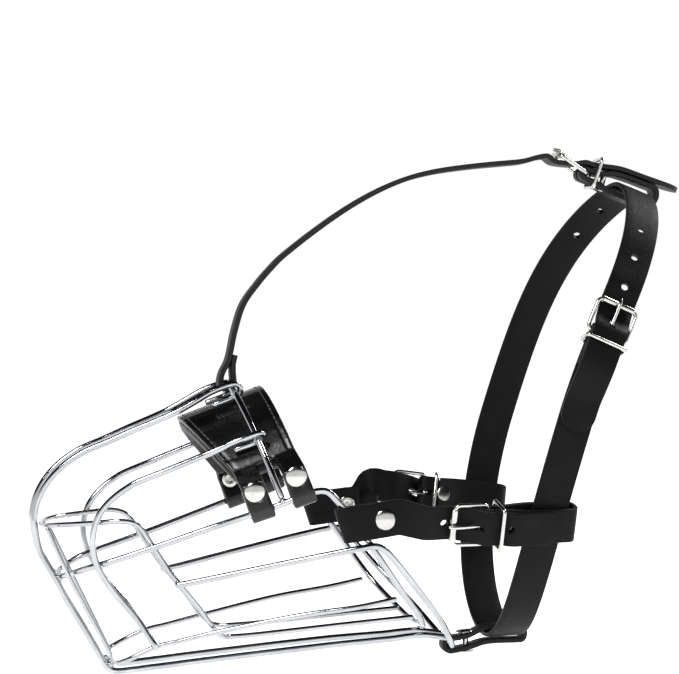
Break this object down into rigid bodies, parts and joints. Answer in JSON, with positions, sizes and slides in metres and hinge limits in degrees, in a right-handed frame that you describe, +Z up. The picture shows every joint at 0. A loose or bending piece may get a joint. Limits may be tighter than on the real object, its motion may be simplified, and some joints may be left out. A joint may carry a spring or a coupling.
{
  "type": "basket muzzle",
  "caption": "Welded wire basket muzzle for a dog, with a padded leather nose arch, buckled neck, side and overhead straps and a chin tab.",
  "frame": {"origin": "centre of the footprint, on the plane that the muzzle stands on", "axes": "+X from the nose end to the neck strap, +Y to the wearer's right, +Z up"},
  "size_m": [0.3326, 0.1645, 0.2516],
  "materials": {
    "chromed_wire": "polished chrome plate on steel wire",
    "leather": "black harness leather with a smooth grain",
    "lining": "soft padded black lining",
    "nickel": "nickel-plated steel buckles and rivets"
  },
  "bodies": {
    "harness": {"nose_arch_wire": "chromed_wire", "centre_wire_left": "chromed_wire", "centre_wire_right": "chromed_wire", "side_wire_left": "chromed_wire", "side_wire_right": "chromed_wire", "upper_front_loop": "chromed_wire", "middle_loop": "chromed_wire", "bottom_tray_wire": "chromed_wire", "jaw_loop": "chromed_wire", "upright_bar_centre": "chromed_wire", "upright_bar_left": "chromed_wire", "upright_bar_right": "chromed_wire", "nose_pad_cover": "leather", "neck_strap": "leather", "side_strap_left": "leather", "side_strap_right": "leather", "side_loop_left": "leather", "side_loop_right": "leather", "overhead_strap": "leather", "overhead_loop": "leather", "chin_tab": "leather", "nose_pad_lining": "lining", "pad_rivet_front_left": "nickel", "pad_rivet_front_right": "nickel", "pad_rivet_rear_left": "nickel", "pad_rivet_rear_right": "nickel", "neck_rivet": "nickel", "side_strap_rivet_left": "nickel", "side_strap_rivet_right": "nickel", "side_loop_left_rivet": "nickel", "side_loop_right_rivet": "nickel", "overhead_loop_rivet": "nickel", "chin_rivet": "nickel", "neck_buckle_frame": "nickel", "side_left_buckle_frame": "nickel", "side_right_buckle_frame": "nickel", "overhead_buckle_frame": "nickel"},
    "neck_tongue": {"neck_buckle_tongue": "nickel"},
    "neck_roller": {"neck_buckle_roller": "nickel"},
    "neck_keeper": {"neck_buckle_keeper": "nickel"},
    "side_left_tongue": {"side_left_buckle_tongue": "nickel"},
    "side_left_roller": {"side_left_buckle_roller": "nickel"},
    "side_left_keeper": {"side_left_buckle_keeper": "nickel"},
    "side_right_tongue": {"side_right_buckle_tongue": "nickel"},
    "side_right_roller": {"side_right_buckle_roller": "nickel"},
    "side_right_keeper": {"side_right_buckle_keeper": "nickel"},
    "overhead_tongue": {"overhead_buckle_tongue": "nickel"},
    "overhead_roller": {"overhead_buckle_roller": "nickel"},
    "overhead_keeper": {"overhead_buckle_keeper": "nickel"}
  },
  "joints": [
    {"name": "neck_tongue_hinge", "type": "hinge", "parent": "harness", "child": "neck_tongue", "pos_m": [0.11035, -0.07268, 0.15618], "axis": [0.8958, -0.0292, -0.4434], "range_deg": [0, 25]},
    {"name": "neck_roller_spin", "type": "hinge", "parent": "harness", "child": "neck_roller", "pos_m": [0.11772, -0.06914, 0.17085], "axis": [-0.8958, 0.0292, 0.4434], "continuous": true},
    {"name": "neck_keeper_slide", "type": "slide", "parent": "harness", "child": "neck_keeper", "axis": [0.4392, 0.2106, 0.8734], "range_m": [-0.0002, 0.0015]},
    {"name": "side_left_tongue_hinge", "type": "hinge", "parent": "harness", "child": "side_left_tongue", "pos_m": [0.0488, -0.071, 0.0684], "axis": [0.0816, -0.3256, 0.942], "range_deg": [0, 25]},
    {"name": "side_left_roller_spin", "type": "hinge", "parent": "harness", "child": "side_left_roller", "pos_m": [0.03227, -0.07398, 0.0688], "axis": [-0.0816, 0.3256, -0.942], "continuous": true},
    {"name": "side_left_keeper_slide", "type": "slide", "parent": "harness", "child": "side_left_keeper", "axis": [-0.9838, -0.1776, 0.0239], "range_m": [-0.0002, 0.0015]},
    {"name": "side_right_tongue_hinge", "type": "hinge", "parent": "harness", "child": "side_right_tongue", "pos_m": [0.0415, 0.0695, 0.0765], "axis": [-0.1814, -0.2966, -0.9376], "range_deg": [0, 25]},
    {"name": "side_right_roller_spin", "type": "hinge", "parent": "harness", "child": "side_right_roller", "pos_m": [0.02499, 0.07098, 0.07923], "axis": [0.1814, 0.2966, 0.9376], "continuous": true},
    {"name": "side_right_keeper_slide", "type": "slide", "parent": "harness", "child": "side_right_keeper", "axis": [-0.9828, 0.088, 0.1623], "range_m": [-0.0002, 0.0015]},
    {"name": "overhead_tongue_hinge", "type": "hinge", "parent": "harness", "child": "overhead_tongue", "pos_m": [0.1179, 0, 0.2378], "axis": [0, 1, 0], "range_deg": [0, 25]},
    {"name": "overhead_roller_spin", "type": "hinge", "parent": "harness", "child": "overhead_roller", "pos_m": [0.10431, 0, 0.24768], "axis": [0, -1, 0], "continuous": true},
    {"name": "overhead_keeper_slide", "type": "slide", "parent": "harness", "child": "overhead_keeper", "axis": [-0.9336, 0, 0.3584], "range_m": [-0.0002, 0.0015]}
  ]
}
